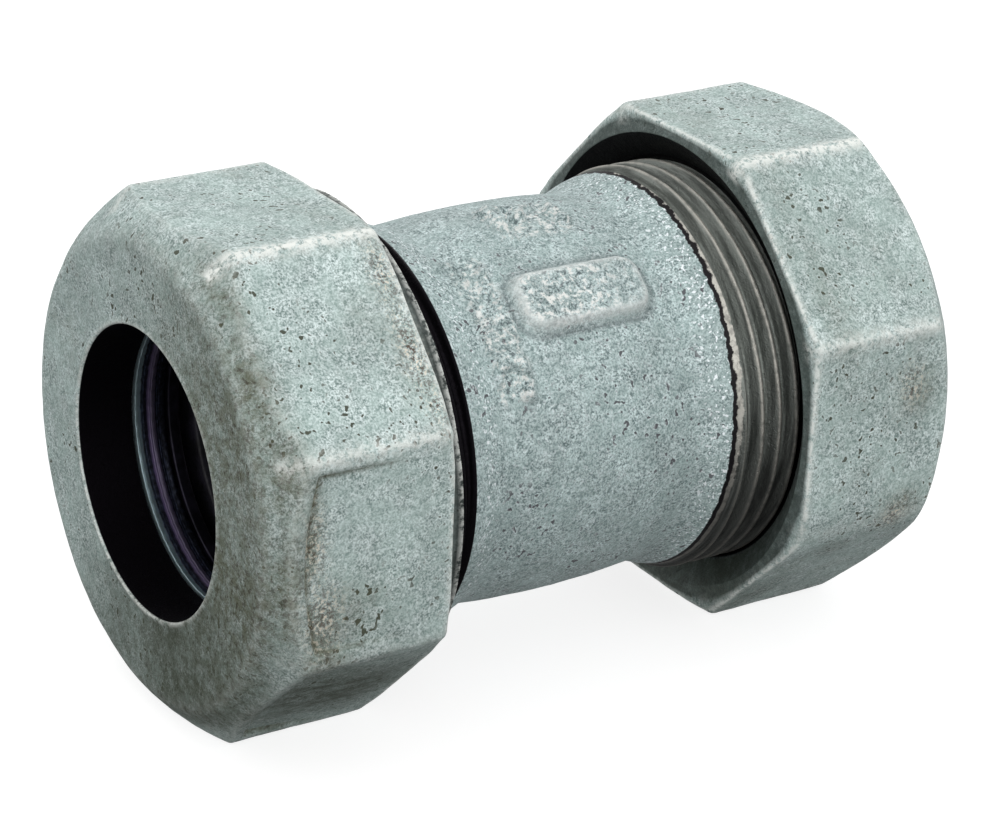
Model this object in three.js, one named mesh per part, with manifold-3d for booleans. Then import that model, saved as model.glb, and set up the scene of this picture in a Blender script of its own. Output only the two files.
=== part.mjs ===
// Straight compression coupling for plain-end steel pipe of 33.7 mm outside diameter.
// A cast-iron body with an outside thread at each end is closed by two octagonal gland nuts.
// From the outside in, each nut holds a split toothed clamp ring, a pressure washer and a gasket.
// Millimetres, +Z up. The pipe axis is X, the origin is the middle of the body on that axis,
// and both nuts stand on a flat.

import * as THREE from 'three';
import { mergeVertices } from 'three/addons/utils/BufferGeometryUtils.js';
import Module from 'manifold-3d';

const wasm = await Module();
wasm.setup();

const overallLength = 94;
const restingGap = 0.3;
const cutClearance = 1;
const weldDistance = 1e-4;
const segments = 36;

// The gland nut. The chamfer slope is axial length for each millimetre of radius. A rim stands out
// round the mouth of the left nut, and the right nut's mouth is flush with its inner face.
const nutCorners = 8;
const acrossFlats = 60;
const nutLength = 22.8;
const nutFaceRadius = 27.4;
const nutChamferSlope = 0.89;
const rimRadius = 29.1;
const leftRimHeight = 1.8;
const mouthRadius = 28.4;
const mouthDepth = 2.5;
const nutThreadLead = 0.6;
const lipRadius = 17.1;
const lipLength = 7.2;
const lipChamfer = 0.3;
const seatRadius = 19.4;
const seatSlope = 0.466;
const washerPocketRadius = 23;

// The screw thread. The crest half width is measured along the axis. The thread starts with a
// crest at the first crest place, on the +Y side.
const pitch = 2.5;
const crestRadius = 24.9;
const rootRadius = 23.45;
const crestHalfWidth = 0.175;
const flankSlope = Math.tan(Math.PI / 6);
const threadPlay = 0.25;
const threadSteps = 36;
const lastHelix = 3;
const firstCrestX = 17.4;

// The body between its two threads, and the pad cast on its side. The barrel bulges in the middle,
// narrows to a neck on each side, and flares out again to meet the threads.
const barrelRadius = 23.5;
const neckRadius = 22.8;
const neckX = 12.4;
const flareRadius = 24.4;
const barrelHalfLength = 18.2;
const barrelSteps = 8;
const threadLeadLength = 0.8;
const threadLimitRadius = crestRadius + restingGap / 3;
const bodyEndChamfer = 1.3;
const bodyBoreRadius = 17.7;
const gasketSeatMouthRadius = 22;
const gasketSeatFootRadius = 18.9;
const padLength = 18.6;
const padWidth = 8.8;
const padCornerRadius = 3.2;
const padHeight = 1.2;
const padCentreX = 1.2;
const padRootRadius = 20;
const padAngle = THREE.MathUtils.degToRad(128.6);
const padArcSteps = 4;

// The rings inside a nut.
const clampLength = 4.1;
const clampBoreRadius = 16.95;
const clampTeeth = 4;
const clampToothDepth = 0.6;
const clampSplitWidth = 3;
const washerThickness = 1.5;
const washerBoreRadius = 17.2;
const washerRadius = 22.4;
const gasketLength = 9;
const gasketBoreRadius = 16.95;
const gasketStandOut = 0.5;
const tighteningTravel = 1.5;

// Places along the pipe axis, on the +X side.
const nutOuterX = overallLength / 2;
const nutInnerX = nutOuterX - nutLength;
const mouthX = nutInnerX + mouthDepth;
const seatX = nutOuterX - lipLength;
const clampOuterX = seatX - restingGap;
const clampInnerX = clampOuterX - clampLength;
const washerOuterX = clampInnerX - restingGap;
const washerInnerX = washerOuterX - washerThickness;
const gasketOuterX = washerInnerX - tighteningTravel - restingGap;
const gasketInnerX = gasketOuterX - gasketLength;
const bodyEndX = gasketOuterX - gasketStandOut;
const gasketShoulderX = gasketInnerX - restingGap;
const pocketOuterX = clampInnerX - restingGap / 3;
const nutThreadStartX = mouthX + nutThreadLead;
const nutThreadEndX = washerOuterX - restingGap;

// A closed mesh as a solid that can be joined and cut.
function toSolid(geometry) {
  const bare = geometry.clone();
  bare.deleteAttribute('normal');
  bare.deleteAttribute('uv');
  const merged = mergeVertices(bare, weldDistance);
  const mesh = new wasm.Mesh({
    numProp: 3,
    vertProperties: new Float32Array(merged.attributes.position.array),
    triVerts: new Uint32Array(merged.index.array),
  });
  return new wasm.Manifold(mesh);
}

function toGeometry(solid) {
  const mesh = solid.getMesh();
  const geometry = new THREE.BufferGeometry();
  geometry.setAttribute('position', new THREE.BufferAttribute(mesh.vertProperties, 3));
  geometry.setIndex(new THREE.BufferAttribute(mesh.triVerts, 1));
  geometry.computeVertexNormals();
  return geometry;
}

// A ring turned about X. The outline lists [x, radius], outer side first and towards +X.
function turnedRing(outline) {
  const points = outline.map(([x, radius]) => new THREE.Vector2(radius, x));
  points.push(points[0].clone());
  return new THREE.LatheGeometry(points, segments).rotateZ(-Math.PI / 2);
}

// A right-hand screw about X, filled in to the axis. Its thread is cut by four helices:
// the two feet and the two edges of the crest.
function screwSolid(crest, root, halfWidth, toX) {
  const footHalfWidth = halfWidth + (crest - root) * flankSlope;
  const helices = [
    [-footHalfWidth, root],
    [-halfWidth, crest],
    [halfWidth, crest],
    [footHalfWidth, root],
  ];
  const startX = firstCrestX - pitch;
  const turns = Math.ceil((toX - startX) / pitch) + 1;
  const steps = turns * threadSteps;
  const positions = [];
  for (let step = 0; step <= steps; step += 1) {
    const angle = (2 * Math.PI * step) / threadSteps;
    const along = startX + (pitch * step) / threadSteps;
    for (const [offset, radius] of helices) {
      positions.push(along + offset, radius * Math.cos(angle), radius * Math.sin(angle));
    }
  }
  const vertex = (helix, step) => step * helices.length + helix;
  const triangles = [];
  const addQuad = (a, b, c, d) => triangles.push(a, b, c, a, c, d);
  for (let step = 0; step < steps; step += 1) {
    for (let helix = 0; helix < lastHelix; helix += 1) {
      const above = helix + 1;
      addQuad(vertex(helix, step), vertex(helix, step + 1), vertex(above, step + 1), vertex(above, step));
    }
  }
  for (let step = 0; step < steps - threadSteps; step += 1) {
    const next = step + threadSteps;
    addQuad(vertex(lastHelix, step), vertex(lastHelix, step + 1), vertex(0, next + 1), vertex(0, next));
  }
  closeScrewEnds(positions, triangles, vertex, steps, startX);
  const geometry = new THREE.BufferGeometry();
  geometry.setAttribute('position', new THREE.Float32BufferAttribute(positions, 3));
  geometry.setIndex(triangles);
  return toSolid(geometry);
}

// Fans from a point on the axis close the two open ends of a screw.
function closeScrewEnds(positions, triangles, vertex, steps, startX) {
  const startTip = positions.length / 3;
  const endTip = startTip + 1;
  positions.push(startX - pitch, 0, 0);
  positions.push(startX + (pitch * steps) / threadSteps + pitch, 0, 0);
  for (let step = 0; step < threadSteps; step += 1) {
    const last = steps - threadSteps + step;
    triangles.push(vertex(0, step + 1), vertex(0, step), startTip);
    triangles.push(vertex(lastHelix, last), vertex(lastHelix, last + 1), endTip);
  }
  for (let helix = 0; helix < lastHelix; helix += 1) {
    triangles.push(vertex(helix, 0), vertex(helix + 1, 0), startTip);
    triangles.push(vertex(helix + 1, steps), vertex(helix, steps), endTip);
  }
  triangles.push(vertex(lastHelix, 0), vertex(0, threadSteps), startTip);
  triangles.push(vertex(0, steps), vertex(lastHelix, steps - threadSteps), endTip);
}

// The barrel's radius at a distance from its middle: a bulge as far as the neck, then the flare.
function barrelRadiusAt(x) {
  if (x < neckX) {
    return barrelRadius - (barrelRadius - neckRadius) * (x / neckX) ** 2;
  }
  const share = (x - neckX) / (barrelHalfLength - neckX);
  return neckRadius + (flareRadius - neckRadius) * share * share * (3 - 2 * share);
}

// The body's outline on the +X side, from its middle round the end and back to the bore.
function bodyOutline() {
  const outline = [];
  for (let step = 1; step <= barrelSteps; step += 1) {
    const x = (barrelHalfLength * step) / barrelSteps;
    outline.push([x, barrelRadiusAt(x)]);
  }
  outline.push([barrelHalfLength + threadLeadLength, threadLimitRadius]);
  outline.push([bodyEndX - bodyEndChamfer, threadLimitRadius]);
  outline.push([bodyEndX, threadLimitRadius - bodyEndChamfer]);
  outline.push([bodyEndX, gasketSeatMouthRadius]);
  outline.push([gasketShoulderX, gasketSeatFootRadius]);
  outline.push([gasketShoulderX, bodyBoreRadius]);
  return outline;
}

// A flat pad with rounded corners, standing on the side of the barrel.
function castPad() {
  const cornerX = padLength / 2 - padCornerRadius;
  const cornerY = padWidth / 2 - padCornerRadius;
  const corners = [[cornerX, cornerY], [-cornerX, cornerY], [-cornerX, -cornerY], [cornerX, -cornerY]];
  const outline = new THREE.Shape();
  corners.forEach(([x, y], corner) => {
    const from = (corner * Math.PI) / 2;
    outline.absarc(x, y, padCornerRadius, from, from + Math.PI / 2, false);
  });
  const depth = barrelRadius + padHeight - padRootRadius;
  const pad = new THREE.ExtrudeGeometry(outline, { depth, bevelEnabled: false, curveSegments: padArcSteps });
  pad.translate(0, 0, padRootRadius);
  pad.rotateX(padAngle - Math.PI / 2);
  pad.translate(padCentreX, 0, 0);
  return toSolid(pad);
}

function couplingBody() {
  const rightSide = bodyOutline();
  const leftSide = rightSide.map(([x, radius]) => [-x, radius]).reverse();
  const isOuter = ([, radius]) => radius > gasketSeatMouthRadius;
  const outline = [
    ...leftSide.filter(isOuter),
    ...rightSide,
    ...leftSide.filter((point) => !isOuter(point)),
  ];
  const blank = new THREE.BoxGeometry(2 * barrelHalfLength, acrossFlats, acrossFlats);
  const rightScrew = screwSolid(crestRadius, rootRadius, crestHalfWidth, bodyEndX);
  const leftScrew = rightScrew.rotate([0, 0, 180]);
  const core = toSolid(blank).add(rightScrew).add(leftScrew);
  return toGeometry(core.intersect(toSolid(turnedRing(outline))).add(castPad()));
}

// The nut is an octagonal bar, turned outside and inside, with a thread cut in its wall.
function glandNut(rimHeight) {
  const cornerRadius = acrossFlats / 2 / Math.cos(Math.PI / nutCorners);
  const outline = new THREE.Shape();
  for (let corner = 0; corner < nutCorners; corner += 1) {
    const angle = ((corner + 0.5) * 2 * Math.PI) / nutCorners;
    const point = [cornerRadius * Math.cos(angle), cornerRadius * Math.sin(angle)];
    if (corner === 0) {
      outline.moveTo(...point);
    } else {
      outline.lineTo(...point);
    }
  }
  const rimX = nutInnerX - rimHeight;
  const bar = new THREE.ExtrudeGeometry(outline, { depth: nutOuterX - rimX, bevelEnabled: false });
  bar.rotateY(Math.PI / 2);
  bar.translate(rimX, 0, 0);

  const clearRadius = cornerRadius + cutClearance;
  const chamferLength = (clearRadius - nutFaceRadius) * nutChamferSlope;
  const threadMinor = rootRadius + restingGap;
  const rim = [[rimX, mouthRadius], [rimX, rimRadius], [nutInnerX, rimRadius]];
  const turned = turnedRing([
    [nutInnerX, mouthRadius],
    ...(rimHeight > 0 ? rim : []),
    [nutInnerX, clearRadius],
    [nutOuterX - chamferLength, clearRadius],
    [nutOuterX, nutFaceRadius],
    [nutOuterX, lipRadius + lipChamfer],
    [nutOuterX - lipChamfer, lipRadius],
    [seatX, lipRadius],
    [seatX, seatRadius],
    [pocketOuterX, seatRadius + (seatX - pocketOuterX) * seatSlope],
    [pocketOuterX, washerPocketRadius],
    [nutThreadEndX, washerPocketRadius],
    [nutThreadEndX, threadMinor],
    [nutThreadStartX, threadMinor],
    [mouthX, crestRadius + restingGap],
  ]);
  const wall = toSolid(bar).intersect(toSolid(turned));
  return toGeometry(wall.subtract(nutThreadGroove(threadMinor)));
}

// The groove that the body's thread runs in: the same screw, larger by the running play.
function nutThreadGroove(threadMinor) {
  const grooveCrest = crestRadius + restingGap;
  const grooveHalfWidth = crestHalfWidth - restingGap * flankSlope + threadPlay;
  const screw = screwSolid(grooveCrest, threadMinor, grooveHalfWidth, nutThreadEndX);
  const zone = turnedRing([
    [mouthX - pitch, crestRadius + cutClearance],
    [nutThreadEndX, crestRadius + cutClearance],
    [nutThreadEndX, lipRadius],
    [mouthX - pitch, lipRadius],
  ]);
  return screw.intersect(toSolid(zone));
}

// A split ring with a cone outside that fits the nut's seat and teeth inside that bite the pipe.
function clampRing() {
  const coneOffset = restingGap * Math.hypot(1, seatSlope);
  const coneRadius = (x) => seatRadius + (seatX - x) * seatSlope - coneOffset;
  const outline = [
    [clampInnerX, coneRadius(clampInnerX)],
    [clampOuterX, coneRadius(clampOuterX)],
  ];
  const toothLength = clampLength / clampTeeth;
  for (let tooth = 0; tooth < clampTeeth; tooth += 1) {
    const crestX = clampOuterX - tooth * toothLength;
    outline.push([crestX, clampBoreRadius]);
    outline.push([crestX - toothLength, clampBoreRadius + clampToothDepth]);
  }
  const slot = new THREE.BoxGeometry(2 * clampLength, clampSplitWidth, washerRadius);
  slot.translate(clampOuterX, 0, washerRadius);
  return toGeometry(toSolid(turnedRing(outline)).subtract(toSolid(slot)));
}

function pressureWasher() {
  return turnedRing([
    [washerInnerX, washerRadius],
    [washerOuterX, washerRadius],
    [washerOuterX, washerBoreRadius],
    [washerInnerX, washerBoreRadius],
  ]);
}

// A rubber ring whose outside follows the tapered seat in the body's mouth.
function gasket() {
  const mouthFit = gasketSeatMouthRadius - restingGap;
  const footFit = gasketSeatFootRadius - restingGap;
  return turnedRing([
    [gasketInnerX, footFit],
    [bodyEndX, mouthFit],
    [gasketOuterX, mouthFit],
    [gasketOuterX, gasketBoreRadius],
    [gasketInnerX, gasketBoreRadius],
  ]);
}

const finishes = {
  galvanisedIron: { color: 0xa3aca8, roughness: 0.6, metalness: 0.7 },
  galvanisedSteel: { color: 0xaab0b4, roughness: 0.45, metalness: 0.8 },
  darkSteel: { color: 0x3c3f45, roughness: 0.4, metalness: 0.8 },
  rubber: { color: 0x17171a, roughness: 0.8, metalness: 0 },
};

function namedPiece(name, geometry, finish) {
  const piece = new THREE.Mesh(geometry, new THREE.MeshStandardMaterial(finishes[finish]));
  piece.name = name;
  return piece;
}

// The four pieces on one end. The left end is the right end turned half way round Z.
function endGroup(side, turn, rimHeight) {
  const group = new THREE.Group();
  group.add(namedPiece(`nut_${side}`, glandNut(rimHeight), 'galvanisedIron'));
  group.add(namedPiece(`clamp_ring_${side}`, clampRing(), 'darkSteel'));
  group.add(namedPiece(`pressure_washer_${side}`, pressureWasher(), 'galvanisedSteel'));
  group.add(namedPiece(`gasket_${side}`, gasket(), 'rubber'));
  group.rotation.z = turn;
  return group;
}

const coupling = new THREE.Group();
coupling.add(namedPiece('coupling_body', couplingBody(), 'galvanisedIron'));
coupling.add(endGroup('right', 0, 0));
coupling.add(endGroup('left', Math.PI, leftRimHeight));

export default coupling;
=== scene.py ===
import math

import bpy
import numpy as np
from mathutils import Matrix, Vector, noise


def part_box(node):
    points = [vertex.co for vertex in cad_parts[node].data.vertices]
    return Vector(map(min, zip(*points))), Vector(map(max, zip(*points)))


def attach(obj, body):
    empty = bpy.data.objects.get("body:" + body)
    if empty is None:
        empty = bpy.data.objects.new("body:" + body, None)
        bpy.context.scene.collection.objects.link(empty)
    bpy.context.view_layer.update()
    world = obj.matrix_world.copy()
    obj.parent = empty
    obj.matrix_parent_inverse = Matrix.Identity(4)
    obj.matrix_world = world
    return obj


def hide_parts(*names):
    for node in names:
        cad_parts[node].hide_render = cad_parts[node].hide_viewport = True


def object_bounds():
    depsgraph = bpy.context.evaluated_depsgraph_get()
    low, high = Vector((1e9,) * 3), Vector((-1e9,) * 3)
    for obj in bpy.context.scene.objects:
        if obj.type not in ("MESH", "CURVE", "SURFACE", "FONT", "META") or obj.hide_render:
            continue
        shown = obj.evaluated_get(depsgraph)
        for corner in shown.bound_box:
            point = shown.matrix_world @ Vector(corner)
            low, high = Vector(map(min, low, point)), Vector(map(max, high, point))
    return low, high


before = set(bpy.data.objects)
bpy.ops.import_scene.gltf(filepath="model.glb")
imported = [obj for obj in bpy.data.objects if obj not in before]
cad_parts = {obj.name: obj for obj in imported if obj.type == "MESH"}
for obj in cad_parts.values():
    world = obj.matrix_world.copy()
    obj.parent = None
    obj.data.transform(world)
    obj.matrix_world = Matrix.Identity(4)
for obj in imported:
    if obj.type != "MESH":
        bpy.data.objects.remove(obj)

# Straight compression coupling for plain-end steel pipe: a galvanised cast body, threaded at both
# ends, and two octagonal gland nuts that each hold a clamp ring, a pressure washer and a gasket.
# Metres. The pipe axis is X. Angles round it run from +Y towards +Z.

cad_low, cad_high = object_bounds()

MM = 0.001
FULL_TURN = 2 * math.pi
TINY = 1e-12

# Places along the axis on the +X side, from the CAD solids.
nut_low, nut_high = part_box("nut_right")
left_nut_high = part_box("nut_left")[1]
clamp_low, clamp_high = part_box("clamp_ring_right")
washer_low, washer_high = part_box("pressure_washer_right")
gasket_low, gasket_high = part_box("gasket_right")
body_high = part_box("coupling_body")[1]
HALF_FLATS = nut_high[2]
BODY_END = body_high[0]

# The nut.
NUT_CORNERS = 8
CORNER_ROUNDING = 1.1 * MM
CHAMFER_ROUNDING = 0.9 * MM
FACE_ROUNDING = 3.0 * MM
# The inner edge is rounder near the long corners, where it was knocked.
EDGE_ROUNDING = 0.5 * MM
KNOCKED_ROUNDING = 1.0 * MM
KNOCKED_REACH = 3 * MM
# Long corners that were cast soft, by the angle they lie at.
SOFT_CORNERS = {"left": {}, "right": {67.5: 2.5 * MM, -157.5: 9.0 * MM}}
COLUMNS_PER_FLAT = 40
COLUMN_CROWDING = 0.6
NUT_LENGTH = 22.8 * MM
FACE_RADIUS = 27.4 * MM
CHAMFER_SLOPE = 0.89
RIM_RADIUS = 29.1 * MM
RIM_ENDS = {"left": -left_nut_high[0], "right": nut_low[0]}
MOUTH_RADIUS = 28.4 * MM
MOUTH_DEPTH = 2.5 * MM
THREAD_LEAD = 0.6 * MM
LIP_RADIUS = 17.1 * MM
LIP_LENGTH = 7.2 * MM
SEAT_RADIUS = 19.4 * MM
SEAT_SLOPE = 0.466
POCKET_RADIUS = 23.0 * MM
POCKET_GAP = 0.1 * MM
RESTING_GAP = 0.3 * MM

# The thread, which is the same on both ends.
PITCH = 2.5 * MM
CREST_RADIUS = 24.9 * MM
ROOT_RADIUS = 23.45 * MM
CREST_HALF_WIDTH = 0.175 * MM
FLANK_SLOPE = math.tan(math.radians(30))
THREAD_PLAY = 0.25 * MM
FIRST_CREST = 17.4 * MM
THREAD_ROW = 0.15 * MM

# The body.
BARREL_RADIUS = 23.5 * MM
NECK_RADIUS = 22.8 * MM
NECK = 12.4 * MM
FLARE_RADIUS = 24.4 * MM
BARREL_HALF_LENGTH = 18.2 * MM
BARREL_ROW = 0.42 * MM
BODY_COLUMNS = 320
LEAD_LENGTH = 0.8 * MM
BODY_BORE_RADIUS = 17.7 * MM
SEAT_MOUTH_RADIUS = 22.0 * MM
SEAT_FOOT_RADIUS = 18.9 * MM
END_CHAMFER = 1.3 * MM
PAD_LENGTH = 18.6 * MM
PAD_WIDTH = 8.8 * MM
PAD_CORNER = 3.2 * MM
PAD_HEIGHT = 1.2 * MM
PAD_CENTRE = 1.2 * MM
PAD_ANGLE = math.radians(128.6)

# The camera: where it stands round the middle of the coupling, and how it is turned and moved.
CAMERA_AZIMUTH = math.radians(-33.444)
CAMERA_ELEVATION = math.radians(23.872)
CAMERA_ROLL = math.radians(2.414)
CAMERA_DISTANCE = 388.5 * MM
CAMERA_ASIDE = 0.42 * MM
CAMERA_RAISED = -2.25 * MM
CAMERA_LENS = 117.0
CAMERA_SENSOR = 36.0
CAMERA_NEAREST = 0.01
CAMERA_FURTHEST = 100.0


def make_camera():
    """The camera looks past the origin by a small step sideways and down."""
    flat = math.cos(CAMERA_ELEVATION)
    aside = math.sin(CAMERA_AZIMUTH) * flat
    toward = -math.cos(CAMERA_AZIMUTH) * flat
    back = Vector((aside, toward, math.sin(CAMERA_ELEVATION)))
    level = (-back).cross(Vector((0, 0, 1))).normalized()
    upright = back.cross(level)
    right = level * math.cos(CAMERA_ROLL) + upright * math.sin(CAMERA_ROLL)
    up = back.cross(right)
    place = back * CAMERA_DISTANCE + right * CAMERA_ASIDE + up * CAMERA_RAISED
    camera = bpy.data.objects.new("camera", bpy.data.cameras.new("camera"))
    camera.data.lens = CAMERA_LENS
    camera.data.sensor_width = CAMERA_SENSOR
    camera.data.clip_start = CAMERA_NEAREST
    camera.data.clip_end = CAMERA_FURTHEST
    camera.matrix_world = Matrix.Translation(place) @ Matrix((right, up, back)).transposed().to_4x4()
    bpy.context.scene.collection.objects.link(camera)
    bpy.context.scene.camera = camera


# Meshes

def grid_faces(rows, columns, closed):
    """Corner numbers of the quads of a grid that closes in its rows and, if asked, in its columns."""
    row, column = np.meshgrid(np.arange(rows), np.arange(columns if closed else columns - 1), indexing="ij")
    next_row = (row + 1) % rows
    next_column = (column + 1) % columns
    quads = [row * columns + column, row * columns + next_column,
             next_row * columns + next_column, next_row * columns + column]
    return np.stack(quads, axis=-1).reshape(-1, 4)


def grid_points(along, radius, angles):
    """Rows run round the outline and columns round the axis."""
    return np.stack([along, radius * np.cos(angles), radius * np.sin(angles)], axis=-1)


def grid_normals(points):
    """Unit outward normals of a grid that closes both ways."""
    down = np.roll(points, -1, axis=0) - np.roll(points, 1, axis=0)
    across = np.roll(points, -1, axis=1) - np.roll(points, 1, axis=1)
    normals = np.cross(across, down)
    return normals / np.maximum(np.linalg.norm(normals, axis=-1, keepdims=True), TINY)


def half_turn(points):
    """The left end is the right end turned half way round Z."""
    return points * np.array([-1.0, -1.0, 1.0])


def make_piece(name, points, marks, closed=True):
    """An object from a grid of points, with one number per point for each mark.

    A grid that doesn't close round the axis gets a flat cap at both ends."""
    rows, columns = points.shape[:2]
    faces = grid_faces(rows, columns, closed).tolist()
    if not closed:
        faces.append([row * columns for row in range(rows)])
        faces.append([row * columns + columns - 1 for row in reversed(range(rows))])
    mesh = bpy.data.meshes.new(name)
    mesh.from_pydata(points.reshape(-1, 3).tolist(), [], faces)
    for mark, values in marks.items():
        attribute = mesh.attributes.new(mark, "FLOAT", "POINT")
        attribute.data.foreach_set("value", np.ascontiguousarray(values, dtype=np.float32).ravel())
    mesh.polygons.foreach_set("use_smooth", [True] * len(mesh.polygons))
    mesh.update()
    piece = bpy.data.objects.new(name, mesh)
    bpy.context.scene.collection.objects.link(piece)
    return piece


def noise_at(points, size, offset=0.0):
    """Smooth noise from -1 to 1 whose lumps are about the given size."""
    flat = (points / size + offset).reshape(-1, 3)
    values = np.array([noise.noise(Vector(point)) for point in flat])
    return values.reshape(points.shape[:-1])


def sunk(points, layers):
    """How far a cast surface lies under its true shape, for layers of (depth, size)."""
    depth = np.zeros(points.shape[:-1])
    for amount, size in layers:
        depth += amount * (0.5 + 0.5 * np.clip(noise_at(points, size), -1, 1))
    return depth


def smooth_step(low, high, values):
    """0 below low, 1 above high, and a smooth rise between them."""
    share = np.clip((values - low) / (high - low), 0, 1)
    return share * share * (3 - 2 * share)


def unit(vectors):
    return vectors / np.linalg.norm(vectors, axis=-1, keepdims=True)


def rounded_corner(here, previous, following, rounding, steps):
    """Rows along an arc that touches both edges of a corner."""
    before = unit(previous - here)
    after = unit(following - here)
    opening = np.arccos(np.clip((before * after).sum(axis=-1, keepdims=True), -1, 1))
    reach = rounding / np.tan(opening / 2)
    centre = here + unit(before + after) * rounding / np.sin(opening / 2)
    first = here + before * reach - centre
    last = here + after * reach - centre
    sweep = math.pi - opening
    rows = []
    for step in range(steps + 1):
        share = step / steps
        blend = np.sin((1 - share) * sweep) * first + np.sin(share * sweep) * last
        rows.append(centre + blend / np.sin(sweep))
    return rows


def rounded_loop(corners, arc_steps=5):
    """A closed outline with rounded corners, as [row, column, (along, radius)], and each row's corner.

    Each corner is (along, radius, rounding, steps to the next corner). The first three may differ
    from column to column."""
    columns = max(np.size(part) for corner in corners for part in corner[:2])
    spots = [np.stack([np.broadcast_to(corner[0], columns), np.broadcast_to(corner[1], columns)], axis=-1)
             for corner in corners]
    rows = []
    owners = []
    steps_after = {}
    for number, corner in enumerate(corners):
        following = spots[(number + 1) % len(spots)]
        rounding = np.reshape(corner[2], (-1, 1))
        arc = rounded_corner(spots[number], spots[number - 1], following, rounding, arc_steps)
        rows += arc
        owners += [number] * len(arc)
        steps_after[len(rows) - 1] = corner[3]
    return fill_edges(rows, owners, steps_after)


# What fill_edges says of a row that is on no corner.
ON_NO_CORNER = -1


def fill_edges(rows, owners, steps_after):
    """Adds evenly spaced rows on the straight edge after each corner."""
    filled = []
    filled_owners = []
    for number, row in enumerate(rows):
        filled.append(row)
        filled_owners.append(owners[number])
        steps = steps_after.get(number, 1)
        following = rows[(number + 1) % len(rows)]
        for step in range(1, steps):
            filled.append(row + (following - row) * step / steps)
            filled_owners.append(ON_NO_CORNER)
    return np.array(filled), np.array(filled_owners)


# The thread

def thread_radius(along, angles, crest, root, half_width):
    """The radius of a right-hand screw thread at each place along and round the axis."""
    turns = (along - FIRST_CREST) / PITCH - angles / FULL_TURN
    from_crest = np.abs(turns - np.round(turns)) * PITCH
    fall = np.maximum(from_crest - half_width, 0) / FLANK_SLOPE
    return np.maximum(crest - fall, root)


# The nut

def nut_angles():
    """Columns round the nut, closer together near the corners."""
    flat_angle = FULL_TURN / NUT_CORNERS
    share = np.arange(COLUMNS_PER_FLAT) / COLUMNS_PER_FLAT * 2 - 1
    warped = share + COLUMN_CROWDING * np.sin(math.pi * share) / math.pi
    return np.concatenate([(flat + warped / 2) * flat_angle for flat in range(NUT_CORNERS)])


def from_flat_middle(angles):
    """The angle from the middle of the nearest flat."""
    flat_angle = FULL_TURN / NUT_CORNERS
    return angles - np.round(angles / flat_angle) * flat_angle


def angle_between(turned, degrees):
    """The angle from the given direction, from minus half a turn to half a turn."""
    return np.angle(np.exp(1j * (turned - math.radians(degrees))))


def octagon_radius(angles, turned, side):
    """The radius of the bar with its long corners rounded."""
    half_corner = math.pi / NUT_CORNERS
    rounding = np.full(np.shape(angles), CORNER_ROUNDING)
    for corner, amount in SOFT_CORNERS[side].items():
        rounding[np.abs(angle_between(turned, corner)) < half_corner] = amount
    aside = np.abs(from_flat_middle(angles))
    flat = HALF_FLATS / np.cos(aside)
    centre = (HALF_FLATS - rounding) / math.cos(half_corner)
    from_corner = half_corner - aside
    inside = np.maximum(rounding ** 2 - (centre * np.sin(from_corner)) ** 2, 0)
    rounded = centre * np.cos(from_corner) + np.sqrt(inside)
    touch = np.arctan((HALF_FLATS - rounding) * math.tan(half_corner) / HALF_FLATS)
    return np.where(aside > touch, rounded, flat)


def corner_share(angles, width):
    """1 on the nut's long corners, fading over the given distance from them."""
    from_corner = (math.pi / NUT_CORNERS - np.abs(from_flat_middle(angles))) * HALF_FLATS
    return np.exp(-(from_corner / width) ** 2)


# Corners of the nut's section, by their place in nut_outline.
OUTSIDE_EDGE = 0
CHAMFER_EDGE = 1
FACE_EDGE = 2
LIP_EDGE = 3
THREAD_END = 9
CONE_FOOT = 11
CONE_MOUTH = 12
RIM_OUTER_EDGE = 14


def nut_outline(angles, outside, side):
    """The nut's section at every column: the outside, the bore, and the rim that the left nut has."""
    outer = nut_high[0]
    inner = outer - NUT_LENGTH
    seat = outer - LIP_LENGTH
    pocket = clamp_low[0] - POCKET_GAP
    thread_end = washer_high[0] - RESTING_GAP
    cone_foot = inner + MOUTH_DEPTH
    thread_start = cone_foot + THREAD_LEAD
    minor = ROOT_RADIUS + RESTING_GAP
    thread_rows = round((thread_end - thread_start) / THREAD_ROW)
    chamfer = outer - (outside - FACE_RADIUS) * CHAMFER_SLOPE
    edge_rounding = EDGE_ROUNDING + KNOCKED_ROUNDING * corner_share(angles, KNOCKED_REACH)
    corners = [
        (inner, outside, edge_rounding, 34),
        (chamfer, outside, CHAMFER_ROUNDING, 8),
        (outer, FACE_RADIUS, FACE_ROUNDING, 20),
        (outer, LIP_RADIUS, 0.3 * MM, 10),
        (seat, LIP_RADIUS, 0.2 * MM, 2),
        (seat, SEAT_RADIUS, 0.2 * MM, 5),
        (pocket, SEAT_RADIUS + (seat - pocket) * SEAT_SLOPE, 0.2 * MM, 2),
        (pocket, POCKET_RADIUS, 0.1 * MM, 1),
        (thread_end, POCKET_RADIUS, 0.1 * MM, 1),
        (thread_end, minor, 0.05 * MM, thread_rows),
        (thread_start, minor, 0.05 * MM, 1),
        (cone_foot, CREST_RADIUS + RESTING_GAP, 0.2 * MM, 8),
        (inner, MOUTH_RADIUS, 0.25 * MM, 3),
    ]
    rim_end = RIM_ENDS[side]
    if rim_end < inner - RESTING_GAP:
        corners += [
            (rim_end, MOUTH_RADIUS, 0.15 * MM, 1),
            (rim_end, RIM_RADIUS, 0.25 * MM, 2),
            (inner, RIM_RADIUS, 0.12 * MM, 3),
        ]
    return rounded_loop(corners)


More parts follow.
